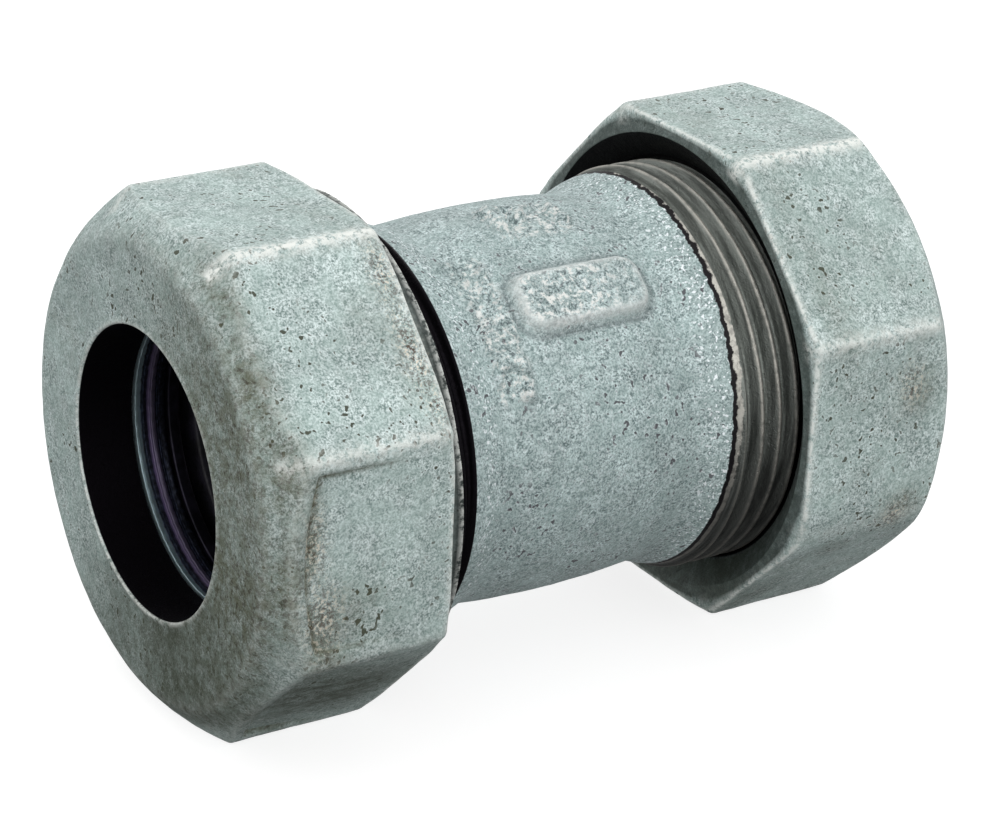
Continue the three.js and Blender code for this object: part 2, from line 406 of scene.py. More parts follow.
# How much wear and painted highlight each rounded edge of the nut gets, by its corner in the section, and
# how far it spreads.
EDGE_WEAR_AND_HIGHLIGHT = {
    "left": {OUTSIDE_EDGE: (0.8, 0.5 * MM), CHAMFER_EDGE: (0.15, 0.8 * MM), FACE_EDGE: (0.1, 0.9 * MM),
             LIP_EDGE: (0.6, 0.3 * MM), RIM_OUTER_EDGE: (1.0, 0.3 * MM)},
    "right": {OUTSIDE_EDGE: (0.8, 0.45 * MM), CHAMFER_EDGE: (0.15, 0.8 * MM), FACE_EDGE: (0.1, 0.9 * MM),
              LIP_EDGE: (0.6, 0.3 * MM)},
}
# How much wear and painted highlight the long corners get, the upper ones most, by the angle they lie at,
# and how far it spreads.
LONG_CORNER_WEAR_AND_HIGHLIGHT = {112.5: 1.0, 157.5: 0.6, 67.5: 0.5, -157.5: 0.15, -112.5: 0.15, 22.5: 0.5}
LONG_CORNER_SPREAD = 1.0 * MM
# Hollows of the cast skin, as (depth, size).
NUT_CAST_LAYERS = [(0.16 * MM, 12 * MM), (0.10 * MM, 4 * MM), (0.06 * MM, 1.5 * MM)]
# Flats that sank a little as they were cast, by the angle they face. The hollow is deepest next to the
# chamfer and fades out between two distances from it.
SUNK_FLATS = {"left": (180, -135), "right": (0,)}
FLAT_RECESS = 0.6 * MM
FLAT_RECESS_STEP = 0.4 * MM
FLAT_RECESS_MARGIN = 1.6 * MM
FLAT_RECESS_FADE = (2 * MM, 15 * MM)
# How much narrower its margin is beside the long corners.
FLAT_RECESS_NARROWING = 1.2
# Points whose radius falls no further than this short of the flats are on the outside.
OUTSIDE_MARGIN = 0.5 * MM
FLAT_MARGIN = 0.3 * MM
# How dark the left nut's rim is made, and the painted shade on the cone of the mouth, which is darkest
# above: by the angle's sine.
RIM_DARKNESS = 0.55
CONE_DARKNESS = 0.9
CONE_DARK_ABOVE = (-0.3, 0.5)
# Brown grime, some of it painted shade, dark green painted shade on the undersides, and rusty stains, as
# (angle, distance in from the face, size along, size round, strength), with the distance and the sizes in
# millimetres.
GRIME_AND_SHADE_PLACES = {
    "left": [(118, 2.0, 2.0, 7.0, 0.7), (140, 1.5, 2.5, 8.0, 0.9), (160, 2.5, 2.5, 6.0, 0.8),
             (-175, 2.0, 2.2, 9.0, 0.9), (-160, 6.5, 3.0, 7.0, 0.7), (172, 5.0, 1.2, 6.0, 0.9),
             (-168, 11.0, 4.0, 4.0, 0.4), (130, 17.0, 3.0, 3.0, 0.2),
             # The last three are grime and painted shade: the end face darker towards its front and bottom.
             (150, 0.0, 1.5, 28.0, 0.8), (-165, 0.0, 2.0, 20.0, 0.9), (-125, 0.0, 2.5, 30.0, 0.8)],
    "right": [(150, 18.0, 2.5, 9.0, 0.3), (120, 19.0, 2.5, 7.0, 0.2), (172, 7.0, 3.0, 3.0, 0.4),
              (-160, 8.0, 3.0, 2.5, 0.6), (85, 19.0, 3.0, 9.0, 0.2)],
}
# Painted shade, dark green, mostly on the undersides.
PAINTED_SHADE = {
    "left": [(-135, 12.0, 15.0, 11.0, 1.1), (-90, 12.0, 15.0, 16.0, 0.8), (-110, 0.0, 3.0, 22.0, 0.8),
             (-78, 0.0, 3.0, 14.0, 0.6)],
    "right": [(-135, 14.0, 12.0, 12.0, 0.15), (-120, 20.0, 6.0, 10.0, 0.7), (-90, 12.0, 15.0, 16.0, 0.8),
              (135, 12.0, 14.0, 16.0, 0.12)],
}
STAINS = {
    "left": [(122, 21.0, 1.6, 4.0, 0.9), (140, 21.0, 1.6, 6.0, 1.0), (152, 21.5, 1.2, 3.0, 0.9),
             (176, 5.5, 1.5, 5.0, 0.8), (-168, 6.5, 2.5, 4.0, 0.8)],
    "right": [(170, 8.0, 2.0, 2.5, 0.8), (-158, 8.5, 1.8, 2.0, 0.9)],
}


def nut_wear_and_highlight(section, owners, turned, side):
    """How much wear and painted highlight each point gets: most on the long corners and on the rounded
    edges.
    """
    wear_and_highlight = np.zeros(section.shape[:2])
    for corner, (amount, spread) in EDGE_WEAR_AND_HIGHLIGHT[side].items():
        spot = section[owners == corner].mean(axis=0)
        distance = np.linalg.norm(section - spot, axis=-1)
        wear_and_highlight = np.maximum(wear_and_highlight, amount * np.exp(-(distance / spread) ** 2))
    outside = section[..., 1] > HALF_FLATS - OUTSIDE_MARGIN
    for corner, amount in LONG_CORNER_WEAR_AND_HIGHLIGHT.items():
        away = angle_between(turned, corner) * HALF_FLATS
        wear_and_highlight = np.maximum(wear_and_highlight, np.where(outside, amount * np.exp(-(away / LONG_CORNER_SPREAD) ** 2), 0))
    return wear_and_highlight


def patches(section, turned, places):
    """Soft patches that start from places on the outside."""
    share = np.zeros(section.shape[:2])
    from_face = nut_high[0] - section[..., 0]
    for angle, inward, length, width, amount in places:
        away = angle_between(turned, angle) * HALF_FLATS
        reach = ((from_face - inward * MM) / (length * MM)) ** 2 + (away / (width * MM)) ** 2
        share = np.maximum(share, amount * np.exp(-reach))
    return share


def flat_recess(section, outside, angles, turned, side):
    """Some flats are shallow panels. Returns how far each point sank, and 1 on the foot of the step, where
    shade is painted.
    """
    chamfer = nut_high[0] - (outside - FACE_RADIUS) * CHAMFER_SLOPE
    from_chamfer = chamfer - section[..., 0]
    half_flat = math.pi / NUT_CORNERS
    from_corner = (half_flat - np.abs(from_flat_middle(angles))) * HALF_FLATS
    chosen = np.any([np.abs(angle_between(turned, flat)) < half_flat for flat in SUNK_FLATS[side]], axis=0)
    chosen = chosen & (section[..., 1] > HALF_FLATS - FLAT_MARGIN)
    edge = np.minimum(from_chamfer, FLAT_RECESS_NARROWING * from_corner) - FLAT_RECESS_MARGIN
    fade = 1 - smooth_step(*FLAT_RECESS_FADE, from_chamfer)
    depth = FLAT_RECESS * smooth_step(0, FLAT_RECESS_STEP, edge)
    step_shade = np.exp(-((edge - FLAT_RECESS_STEP) / FLAT_RECESS_STEP) ** 2)
    return np.where(chosen, depth * fade, 0), np.where(chosen, step_shade * fade, 0)


def row_place(owners, corner, last=False):
    """The first, or the last, row of a rounded corner."""
    rows = np.flatnonzero(owners == corner)
    return rows[-1] if last else rows[0]


def nut_bareness_and_shade(section, rows, owners, turned):
    """1 on the turned steel inside the nut, which is painted near black as shade; less on the cone of the
    mouth, as painted shade, and on the left nut's rim, which it only makes darker.
    """
    lip = row_place(owners, LIP_EDGE, last=True)
    cone_foot = row_place(owners, CONE_FOOT, last=True)
    cone = (rows > cone_foot) & (rows <= row_place(owners, CONE_MOUTH))
    bare_and_shaded = ((rows >= lip) & (rows <= cone_foot)) * 1.0
    # Painted shade on the cone of the mouth, darkest at the top.
    bare_and_shaded += cone * CONE_DARKNESS * smooth_step(*CONE_DARK_ABOVE, np.sin(turned))
    rim = section[..., 0] < nut_high[0] - NUT_LENGTH - RESTING_GAP
    return np.where(rim, RIM_DARKNESS, bare_and_shaded)


def cut_thread(section, rows, owners, angles):
    """The section's radius, with the thread's grooves where the thread is."""
    in_thread = (rows > row_place(owners, THREAD_END)) & (rows <= row_place(owners, CONE_FOOT))
    groove = thread_radius(section[..., 0], angles, CREST_RADIUS + RESTING_GAP, ROOT_RADIUS + RESTING_GAP,
                           CREST_HALF_WIDTH - RESTING_GAP * FLANK_SLOPE + THREAD_PLAY)
    return np.where(in_thread, np.maximum(groove, section[..., 1]), section[..., 1])


def make_nut(side):
    angles = nut_angles()
    turned = angles if side == "right" else math.pi - angles
    outside = octagon_radius(angles, turned, side)
    section, owners = nut_outline(angles, outside, side)
    rows = np.arange(len(owners))[:, None] * np.ones(len(angles))
    points = grid_points(section[..., 0], cut_thread(section, rows, owners, angles), angles)
    if side == "left":
        points = half_turn(points)
    cast = (rows < row_place(owners, LIP_EDGE)) | (rows > row_place(owners, CONE_MOUTH, last=True))
    recess, step_shade = flat_recess(section, outside, angles, turned, side)
    points = points - grid_normals(points) * ((sunk(points, NUT_CAST_LAYERS) + recess) * cast)[..., None]
    bare_and_shaded = nut_bareness_and_shade(section, rows, owners, turned)
    zinc = bare_and_shaded < 1
    marks = {
        # Wear and painted highlight on the edges and long corners.
        "wear_and_highlight": nut_wear_and_highlight(section, owners, turned, side) * zinc,
        # Grime, with painted shade along the foot of each sunk flat's step.
        "grime_and_shade": np.minimum(np.maximum(patches(section, turned, GRIME_AND_SHADE_PLACES[side]), step_shade), 1) * zinc,
        # Painted shade on the inboard face, the left nut's rim and the cone of the mouth.
        "painted_inboard_shade": (rows > row_place(owners, CONE_FOOT, last=True)) * 1.0,
        # Painted shade, mostly on the undersides.
        "painted_shade": np.minimum(patches(section, turned, PAINTED_SHADE[side]), 1) * zinc,
        "stained": np.minimum(patches(section, turned, STAINS[side]), 1) * zinc,
        "bare_and_shaded": bare_and_shaded,
    }
    nut = make_piece(f"nut_{side}_cast", points, marks)
    nut.data.materials.append(nut_finish)
    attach(nut, f"{side}_nut")
    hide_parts(f"nut_{side}")


# The body

# Hollows of the cast skin, as (depth, size), and where they fade out, in from the thread's start.
BODY_CAST_LAYERS = [(0.14 * MM, 9 * MM), (0.09 * MM, 2.6 * MM), (0.06 * MM, 1.0 * MM)]
CAST_FADE = (-0.2 * MM, 0.8 * MM)
PAD_SKIRT = 1.5 * MM
# Half the angle, in radians, over which the pad's flat top is worked out.
PAD_REACH = 0.5
PAD_GRAIN = 0.34 * MM
PAD_GRAIN_SIZE = 0.9 * MM
# The pad's right end is smoother than the rest, from the first place along to the second.
PAD_SMOOTHNESS = 0.65
PAD_SMOOTHING = (2 * MM, 7 * MM)
# The painted shade at the foot and the painted highlight on the rim of the pad, by their distance out from
# its edge.
PAD_FOOT = 0.1 * MM
PAD_FOOT_WIDTH = 0.3 * MM
PAD_FOOT_SHADE = 0.6
PAD_RIM = -1.1 * MM
PAD_RIM_WIDTH = 0.5 * MM
# Where the zinc stops: on the right it ran further at the top than at the bottom.
ZINC_END = 17.1 * MM
ZINC_END_SWING = 0.75 * MM
ZINC_LONGEST_ANGLE = math.radians(95)
LEFT_ZINC_END = 18.0 * MM
# Crests of the thread, bright from wear and from a painted highlight, by how far they are from the crest
# radius.
CREST_FADE = (-0.22 * MM, -0.02 * MM)
# Painted glints on the zinc of the flares, from the neck, and where they end on the left, from the thread.
FLARE_START = 0.5 * MM
FLARE_STOP = 2.5 * MM
LEFT_FLARE_FADE = (2.4 * MM, 1.4 * MM)
# Painted shade, near black: the whole left thread, and the underside of the right one, by the angle.
LEFT_THREAD_SHADE_LENGTH = 10 * MM
UNDERSIDE_THREAD_SHADE = 0.65
UNDERSIDE_START = (math.radians(150), math.radians(215))
UNDERSIDE_END = (math.radians(300), math.radians(345))
# The bore is bare steel, far past the zinc, painted near black as shade.
BORE_MARKS = {"past_zinc": 10, "thread_shade": 1}
LUMP_HEIGHT = 1.0 * MM
LUMP_SIZE = 1.9 * MM
LUMP_NOISE_PLACE = 7.3
# The noise values between which a lump rises.
LUMP_RISE = (-0.02, 0.18)
# Where a rough patch starts, by the distance in from its edge, and how rough it looks beside the pad.
PATCH_FADE = (-0.4 * MM, 1.0 * MM)
PATCH_ROUGHNESS = 0.9
# Patches of rough cast skin, as (lowest along, highest along, lowest angle, highest angle).
ROUGH_PATCHES = [
    (-13.2 * MM, -8.2 * MM, math.radians(108), math.radians(156)),
    (-4.0 * MM, 6.5 * MM, math.radians(84), math.radians(106)),
]


def body_rows():
    """The body's section as rows of (along, radius), outside first; the outside radius comes later."""
    thread_length = BODY_END - BARREL_HALF_LENGTH
    thread = np.linspace(0, thread_length, round(thread_length / THREAD_ROW) + 1)
    barrel = np.linspace(-BARREL_HALF_LENGTH, BARREL_HALF_LENGTH,
                         round(2 * BARREL_HALF_LENGTH / BARREL_ROW) + 1)
    outside = np.concatenate([-BODY_END + thread[:-1], barrel, BARREL_HALF_LENGTH + thread[1:]])
    shoulder = gasket_low[0] - RESTING_GAP
    corners = [(BODY_END, SEAT_MOUTH_RADIUS), (shoulder, SEAT_FOOT_RADIUS), (shoulder, BODY_BORE_RADIUS),
               (-shoulder, BODY_BORE_RADIUS), (-shoulder, SEAT_FOOT_RADIUS), (-BODY_END, SEAT_MOUTH_RADIUS)]
    inside = []
    for start, end, steps in zip(corners, corners[1:] + corners[-1:], [8, 2, 24, 2, 8, 1]):
        for step in range(steps):
            share = step / steps
            inside.append((start[0] + (end[0] - start[0]) * share, start[1] + (end[1] - start[1]) * share))
    return outside, np.array(inside)


def barrel_radius(along):
    """A bulge as far as the neck, and then the flare that meets the thread."""
    bulge = BARREL_RADIUS - (BARREL_RADIUS - NECK_RADIUS) * (along / NECK) ** 2
    rise = smooth_step(NECK, BARREL_HALF_LENGTH, np.abs(along))
    flare = NECK_RADIUS + (FLARE_RADIUS - NECK_RADIUS) * rise
    return np.where(np.abs(along) < NECK, bulge, flare)


def end_radius(along, angles):
    """The threaded ends: a lead up from the barrel, the thread, and a chamfer at the end."""
    beyond = np.abs(along) - BARREL_HALF_LENGTH
    lead = FLARE_RADIUS + beyond * (CREST_RADIUS - FLARE_RADIUS) / LEAD_LENGTH
    chamfer = CREST_RADIUS + (BODY_END - END_CHAMFER - np.abs(along))
    turned = np.where(along < 0, math.pi - angles, angles)
    thread = thread_radius(np.abs(along), turned, CREST_RADIUS, ROOT_RADIUS, CREST_HALF_WIDTH)
    return np.minimum(np.minimum(thread, lead), np.minimum(chamfer, CREST_RADIUS))


def from_pad_edge(along, angles):
    """The distance from the pad's edge, negative inside it."""
    across = np.abs((angles - PAD_ANGLE) * BARREL_RADIUS) - PAD_WIDTH / 2 + PAD_CORNER
    beyond = np.abs(along - PAD_CENTRE) - PAD_LENGTH / 2 + PAD_CORNER
    return np.hypot(np.maximum(across, 0), np.maximum(beyond, 0)) - PAD_CORNER


def patch_share(along, angles):
    """1 inside the rough patches, fading out over their edges."""
    share = np.zeros(np.broadcast(along, angles).shape)
    for low, high, from_angle, to_angle in ROUGH_PATCHES:
        edge = np.minimum(np.minimum(along - low, high - along),
                          np.minimum(angles - from_angle, to_angle - angles) * BARREL_RADIUS)
        share = np.maximum(share, smooth_step(*PATCH_FADE, edge))
    return share


def body_marks(along, angles, radius, pad_edge, pad_rough, patch):
    """What the finish has to know about each point of the outside."""
    beyond = np.abs(along) - BARREL_HALF_LENGTH
    crest_low, crest_high = (CREST_RADIUS + step for step in CREST_FADE)
    crest = smooth_step(crest_low, crest_high, radius) * (beyond > 0)
    flare = smooth_step(NECK + FLARE_START, BARREL_HALF_LENGTH - FLARE_STOP, np.abs(along))
    fade_low, fade_high = (BARREL_HALF_LENGTH - step for step in LEFT_FLARE_FADE)
    flare *= 1 - smooth_step(fade_low, fade_high, -along)
    zinc_end = ZINC_END + ZINC_END_SWING * np.cos(angles - ZINC_LONGEST_ANGLE)
    zinc_end = np.where(along > 0, zinc_end, LEFT_ZINC_END)
    under = smooth_step(*UNDERSIDE_START, angles) * (1 - smooth_step(*UNDERSIDE_END, angles))
    return {
        "past_zinc": (np.abs(along) - zinc_end) / MM,
        "crest": crest,
        "pad": np.maximum(pad_rough, PATCH_ROUGHNESS * patch),
        "pad_foot": PAD_FOOT_SHADE * np.exp(-((pad_edge - PAD_FOOT) / PAD_FOOT_WIDTH) ** 2),
        "pad_rim_highlight": np.exp(-((pad_edge - PAD_RIM) / PAD_RIM_WIDTH) ** 2),
        "flare": flare,
        # Painted shade on the left thread and under the right one.
        "thread_shade": np.maximum(smooth_step(0, LEFT_THREAD_SHADE_LENGTH, -along), UNDERSIDE_THREAD_SHADE * under),
    }


def body_radius(along, angles, pad):
    """The outside: the barrel with the pad on it, and the threaded ends."""
    from_pad = np.clip(angles - PAD_ANGLE, -PAD_REACH, PAD_REACH)
    pad_top = (BARREL_RADIUS + PAD_HEIGHT) / np.cos(from_pad)
    skin = barrel_radius(along)
    barrel = np.abs(along) < BARREL_HALF_LENGTH + TINY
    return np.where(barrel, skin + (pad_top - skin) * pad, end_radius(along, angles))


def body_rise(shell, along, pad_rough, patch):
    """How far the cast skin stands out: lumps and grain, less the hollows."""
    lumps = smooth_step(*LUMP_RISE, noise_at(shell, LUMP_SIZE, LUMP_NOISE_PLACE)) * LUMP_HEIGHT * patch
    grain = pad_rough * PAD_GRAIN * noise_at(shell, PAD_GRAIN_SIZE)
    cast = smooth_step(*CAST_FADE, BARREL_HALF_LENGTH - np.abs(along))
    return (lumps + grain - sunk(shell, BODY_CAST_LAYERS)) * cast


def make_body():
    outside, inside = body_rows()
    columns = np.ones(BODY_COLUMNS)
    turn = np.arange(BODY_COLUMNS) / BODY_COLUMNS * FULL_TURN
    along = outside[:, None] * columns
    angles = turn * np.ones_like(along)
    pad_edge = from_pad_edge(along, angles)
    pad = 1 - smooth_step(-PAD_SKIRT, 0.0, pad_edge)
    pad_rough = pad * (1 - PAD_SMOOTHNESS * smooth_step(*PAD_SMOOTHING, along))
    patch = patch_share(along, angles) * (1 - pad)
    radius = body_radius(along, angles, pad)
    shell = grid_points(along, radius, angles)
    bore = grid_points(inside[:, :1] * columns, inside[:, 1:] * columns, turn)
    points = np.concatenate([shell, bore])
    blank = np.zeros(bore.shape[:2])
    rise = np.concatenate([body_rise(shell, along, pad_rough, patch), blank])
    points = points + grid_normals(points) * rise[..., None]
    outside_marks = body_marks(along, angles, radius, pad_edge, pad_rough, patch)
    marks = {name: np.concatenate([values, blank + BORE_MARKS.get(name, 0)])
             for name, values in outside_marks.items()}
    body = make_piece("coupling_body_cast", points, marks)
    body.data.materials.append(body_finish)
    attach(body, "coupling")
    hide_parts("coupling_body")


# The rings

RING_COLUMNS = 180


def round_section(corners, arc_steps=5):
    """A section that is the same all the way round, and the angles of its columns."""
    section, _ = rounded_loop(corners, arc_steps)
    angles = np.arange(RING_COLUMNS) / RING_COLUMNS * FULL_TURN
    return np.repeat(section, RING_COLUMNS, axis=1), angles


def place_ring(name, section, angles, side, finish, body, node, closed=True):
    """A ring from its section, on either side, with its depth from the outer end as a mark."""
    points = grid_points(section[..., 0], section[..., 1], angles)
    inward = (section[..., 0].max() - section[..., 0]) / MM
    if side == "left":
        points = half_turn(points)
    ring = make_piece(name, points, {"inward": inward}, closed)
    ring.data.materials.append(finish)
    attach(ring, body)
    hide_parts(node)


CLAMP_BORE_RADIUS = 16.95 * MM
CLAMP_TEETH = 4
CLAMP_TOOTH_DEPTH = 0.6 * MM
CLAMP_SPLIT = 3.0 * MM
CLAMP_COLUMNS = 240
CLAMP_NOTCHES = 60
CLAMP_NOTCH_DEPTH = 0.12 * MM
CLAMP_ROUNDING = 0.12 * MM
CLAMP_TOOTH_ROUNDING = 0.06 * MM


def make_clamp_ring(side):
    """A split ring, open at the top, with rows of teeth inside and a cone outside."""
    cone_gap = RESTING_GAP * math.hypot(1, SEAT_SLOPE)
    seat = nut_high[0] - LIP_LENGTH
    low, high = clamp_low[0], clamp_high[0]
    corners = [(along, SEAT_RADIUS + (seat - along) * SEAT_SLOPE - cone_gap, CLAMP_ROUNDING, steps)
               for along, steps in ((low, 6), (high, 2))]
    tooth = (high - low) / CLAMP_TEETH
    for number in range(CLAMP_TEETH):
        tip = high - number * tooth
        corners.append((tip, CLAMP_BORE_RADIUS, CLAMP_TOOTH_ROUNDING, 2))
        corners.append((tip - tooth, CLAMP_BORE_RADIUS + CLAMP_TOOTH_DEPTH, CLAMP_TOOTH_ROUNDING, 1))
    half_split = math.asin(CLAMP_SPLIT / 2 / SEAT_RADIUS)
    angles = math.pi / 2 + np.linspace(half_split, FULL_TURN - half_split, CLAMP_COLUMNS)
    section, _ = rounded_loop(corners, 3)
    section = np.repeat(section, CLAMP_COLUMNS, axis=1)
    notch = np.maximum(np.sin(angles * CLAMP_NOTCHES), 0) ** 4 * CLAMP_NOTCH_DEPTH
    toothed = section[..., 1] < CLAMP_BORE_RADIUS + CLAMP_TOOTH_DEPTH
    section[..., 1] += np.where(toothed, notch, 0)
    place_ring(f"clamp_ring_{side}_toothed", section, angles, side, clamp_finish, f"{side}_rings",
               f"clamp_ring_{side}", closed=False)


WASHER_RADIUS = 22.35 * MM
WASHER_BORE_RADIUS = 17.2 * MM
WASHER_ROUNDING = 0.25 * MM


def make_washer(side):
    low, high = washer_low[0], washer_high[0]
    section, angles = round_section([
        (low, WASHER_RADIUS, WASHER_ROUNDING, 3),
        (high, WASHER_RADIUS, WASHER_ROUNDING, 8),
        (high, WASHER_BORE_RADIUS, WASHER_ROUNDING, 3),
        (low, WASHER_BORE_RADIUS, WASHER_ROUNDING, 8),
    ])
    place_ring(f"pressure_washer_{side}_plate", section, angles, side, washer_finish, f"{side}_rings",
               f"pressure_washer_{side}")


GASKET_BORE_RADIUS = 16.95 * MM
GASKET_RIBS = 3
GASKET_RIB_DEPTH = 0.45 * MM
GASKET_RIB_ROUNDING = 0.35 * MM
GASKET_ROUNDING = 0.5 * MM
GASKET_SHOULDER_ROUNDING = 0.4 * MM
GROOVE_ROUNDING = 0.3 * MM
# The edges of a groove's floor, in ribs from the rib before it.
GROOVE_FLOOR = (1.25, 1.75)


def make_gasket(side):
    """Rubber: tapered outside, with soft sealing ribs inside."""
    low, high = gasket_low[0], gasket_high[0]
    mouth = SEAT_MOUTH_RADIUS - RESTING_GAP
    corners = [
        (low, SEAT_FOOT_RADIUS - RESTING_GAP, GASKET_ROUNDING, 8),
        (BODY_END, mouth, GASKET_SHOULDER_ROUNDING, 2),
        (high, mouth, GASKET_ROUNDING, 6),
    ]
    rib = (high - low) / (2 * GASKET_RIBS - 1)
    for number in range(GASKET_RIBS):
        near = high - 2 * number * rib
        corners.append((near, GASKET_BORE_RADIUS, GASKET_RIB_ROUNDING, 2))
        corners.append((near - rib, GASKET_BORE_RADIUS, GASKET_RIB_ROUNDING, 1))
        if number < GASKET_RIBS - 1:
            for edge in GROOVE_FLOOR:
                floor_radius = GASKET_BORE_RADIUS + GASKET_RIB_DEPTH
                corners.append((near - edge * rib, floor_radius, GROOVE_ROUNDING, 1))
    section, angles = round_section(corners, 4)
    place_ring(f"gasket_{side}_rubber", section, angles, side, rubber_finish, "coupling",
               f"gasket_{side}")


# Finishes

class Finish:
    """A material with a small vocabulary for its nodes."""

    def __init__(self, name, **settings):
        self.material = bpy.data.materials.new(name)
        self.material.use_nodes = True
        self.tree = self.material.node_tree
        self.shader = self.tree.nodes["Principled BSDF"]
        for socket, value in settings.items():
            self.shader.inputs[socket.replace("_", " ").title()].default_value = value
        self.place = self.tree.nodes.new("ShaderNodeTexCoord").outputs["Object"]

    def put(self, socket, value):
        """Joins a value to a socket, or sets it there."""
        if isinstance(value, bpy.types.NodeSocket):
            self.tree.links.new(value, socket)
        else:
            socket.default_value = value

    def noise(self, size, detail=2.0, roughness=0.6, stretch=None):
        place = self.place
        if stretch:
            mapping = self.tree.nodes.new("ShaderNodeMapping")
            mapping.inputs["Scale"].default_value = stretch
            self.put(mapping.inputs["Vector"], place)
            place = mapping.outputs["Vector"]
        node = self.tree.nodes.new("ShaderNodeTexNoise")
        self.put(node.inputs["Vector"], place)
        node.inputs["Scale"].default_value = 1 / size
        node.inputs["Detail"].default_value = detail
        node.inputs["Roughness"].default_value = roughness
        return node.outputs["Fac"]

    def mark(self, name):
        node = self.tree.nodes.new("ShaderNodeAttribute")
        node.attribute_name = name
        return node.outputs["Fac"]

    def operate(self, kind, first, second):
        node = self.tree.nodes.new("ShaderNodeMath")
        node.operation = kind
        self.put(node.inputs[0], first)
        self.put(node.inputs[1], second)
        return node.outputs["Value"]

    def plus(self, first, second):
        return self.operate("ADD", first, second)

    def minus(self, first, second):
        return self.operate("SUBTRACT", first, second)

    def times(self, first, second):
        return self.operate("MULTIPLY", first, second)

    def larger(self, first, second):
        return self.operate("MAXIMUM", first, second)

    def between(self, value, low, high, to_low=0.0, to_high=1.0):
        """Maps low..high to to_low..to_high, smoothly and held at both ends."""
        node = self.tree.nodes.new("ShaderNodeMapRange")
        node.interpolation_type = "SMOOTHSTEP"
        self.put(node.inputs["Value"], value)
        node.inputs["From Min"].default_value = low
        node.inputs["From Max"].default_value = high
        node.inputs["To Min"].default_value = to_low
        node.inputs["To Max"].default_value = to_high
        return node.outputs["Result"]

    def mix(self, share, first, second, kind="MIX"):
        node = self.tree.nodes.new("ShaderNodeMix")
        node.data_type = "RGBA"
        node.blend_type = kind
        self.put(node.inputs["Factor"], share)
        self.put(node.inputs["A"], first)
        self.put(node.inputs["B"], second)
        return node.outputs["Result"]

    def bump(self, height, distance, strength=1.0):
        node = self.tree.nodes.new("ShaderNodeBump")
        node.inputs["Strength"].default_value = strength
        node.inputs["Distance"].default_value = distance
        self.put(node.inputs["Height"], height)
        self.put(self.shader.inputs["Normal"], node.outputs["Normal"])

    def set(self, socket, value):
        self.put(self.shader.inputs[socket], value)


def tone(red, green, blue):
    """A colour given as it is seen on a screen, from 0 to 255."""
    def linear(value):
        value /= 255
        return value / 12.92 if value <= 0.04045 else ((value + 0.055) / 1.055) ** 2.4
    return (linear(red), linear(green), linear(blue), 1.0)


# Galvanising: its light grains, middle tint, dark grains and pits.
NUT_ZINC = (tone(226, 239, 238), tone(171, 192, 187), tone(112, 133, 129), tone(74, 80, 68))
BODY_ZINC = (tone(217, 233, 233), tone(157, 178, 176), tone(95, 115, 115), tone(90, 92, 96))
# Pale zinc for wear and for painted highlights.
WORN_ZINC_AND_HIGHLIGHT = tone(240, 243, 238)
# Brown for grime and for painted shade.
BROWN_GRIME_AND_SHADE = tone(84, 86, 60)
GRIME_SPOTS = tone(58, 52, 40)
# Dark grey-green for painted shade on the inboard face.
INBOARD_SHADE_ZINC = tone(70, 80, 76)
# Dark green for painted shade on the undersides.
PAINTED_SHADE_ZINC = tone(58, 67, 54)
RUST_STAIN = tone(84, 66, 52)
PALE_STAIN = tone(238, 226, 208)
# Near black: the nut's steel, painted as shade.
NUT_STEEL_SHADE = tone(15, 12, 17)
PAD_PITS = tone(62, 76, 80)
PAD_GRAINS = tone(240, 240, 236)
PAD_FOOT_SHADOW = tone(88, 96, 98)
PAD_RIM_HIGHLIGHT = tone(236, 240, 238)
# Near white, for painted glints.
PAINTED_GLINTS = tone(246, 252, 255)
THREAD_DARK = tone(90, 94, 90)
THREAD_LIGHT = tone(138, 143, 138)
THREAD_CREST_HIGHLIGHT = tone(184, 182, 174)
LEAD_DARK = tone(92, 92, 88)
# Pale, for a painted highlight on the lead.
LEAD_HIGHLIGHT = tone(200, 198, 190)
# Dark, for a painted shadow along the zinc's edge.
ZINC_EDGE_SHADOW = tone(36, 34, 36)
# Near black, for painted shade on the threads and in the bore.
THREAD_SHADE_BLACK = tone(14, 11, 17)
CLAMP_DARK = tone(18, 20, 30)
CLAMP_LIGHT = tone(52, 58, 76)
# Pale grey-green, for a painted highlight along the mouth's edge.
MOUTH_EDGE_HIGHLIGHT = tone(192, 216, 222)
DEEP_VIOLET_BAND = tone(128, 119, 144)
WASHER_DARK = tone(24, 23, 30)
WASHER_LIGHT = tone(46, 43, 56)
RUBBER_DARK = tone(16, 15, 20)
RUBBER_BLOOM = tone(38, 36, 48)


def speckled_zinc(finish, light, middle, dark, pit):
    """Dull galvanising: fine specks, soft clouds and scattered dark pits. Returns colour and height."""
    specks = finish.noise(0.75 * MM, 5.0, 0.85)
    grains = finish.noise(0.24 * MM, 1.0, 0.5)
    clouds = finish.noise(6 * MM, 4.0, 0.6)
    tints = finish.noise(2.4 * MM, 3.0, 0.6)
    colour = finish.mix(finish.between(specks, 0.4, 0.6), dark, light)
    flecks = finish.mix(finish.between(grains, 0.41, 0.59), dark, light)
    colour = finish.mix(0.5, colour, flecks)
    colour = finish.mix(finish.between(tints, 0.35, 0.65, 0.0, 0.5), colour, middle)
    shade = finish.between(clouds, 0.3, 0.7, 0.86, 1.08)
    colour = finish.mix(1.0, colour, shade, "MULTIPLY")
    pits = finish.noise(0.75 * MM, 1.0, 0.4)
    pit_share = finish.between(pits, 0.65, 0.7)
    pit_share = finish.times(pit_share, finish.between(finish.noise(9 * MM, 2.0), 0.43, 0.6))
    colour = finish.mix(pit_share, colour, pit)
    height = finish.plus(specks, finish.times(grains, 0.5))
    height = finish.minus(height, finish.times(pit_share, 0.6))
    return colour, height


